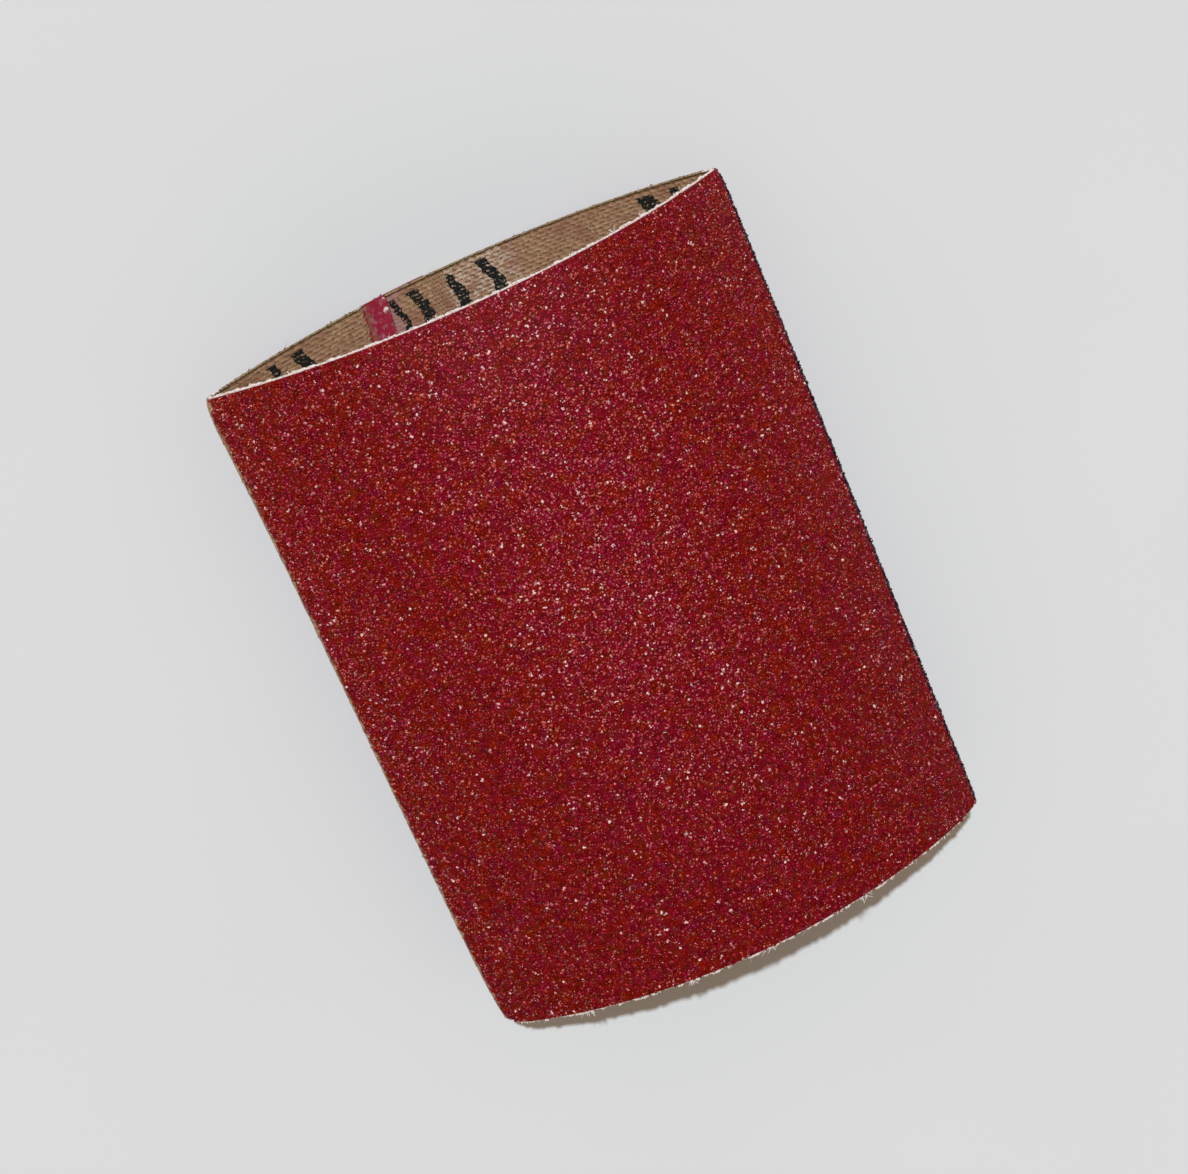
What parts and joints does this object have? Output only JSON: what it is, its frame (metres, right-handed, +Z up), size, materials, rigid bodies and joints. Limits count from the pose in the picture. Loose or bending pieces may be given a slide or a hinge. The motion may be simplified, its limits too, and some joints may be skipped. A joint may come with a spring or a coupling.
{
  "type": "abrasive sanding sleeve",
  "caption": "Short loop of coated abrasive cloth with a slanted glued lap, lying pressed to a lens-shaped section with a crease at each side and open at both ends.",
  "frame": {"origin": "on the resting surface, below the middle of the sleeve's length and width", "axes": "+Y along the sleeve's axis towards the end where the lap is nearest the middle of the wall, +X towards one crease, +Z up from the resting wall to the upper wall"},
  "size_m": [0.0746, 0.1, 0.0304],
  "materials": {
    "backing_cloth": "filled cotton twill, matt",
    "make_resin": "cured resin, dark red-brown",
    "abrasive_grain": "sharp aluminium-oxide grain, red-brown, sparkling",
    "size_resin": "thin cured resin over the grain",
    "glue": "cured clear adhesive, glossy"
  },
  "bodies": {
    "root": {"backing_cloth": "backing_cloth", "make_coat": "make_resin", "abrasive_grain": "abrasive_grain", "size_coat": "size_resin", "splice_glue": "glue"}
  },
  "joints": []
}
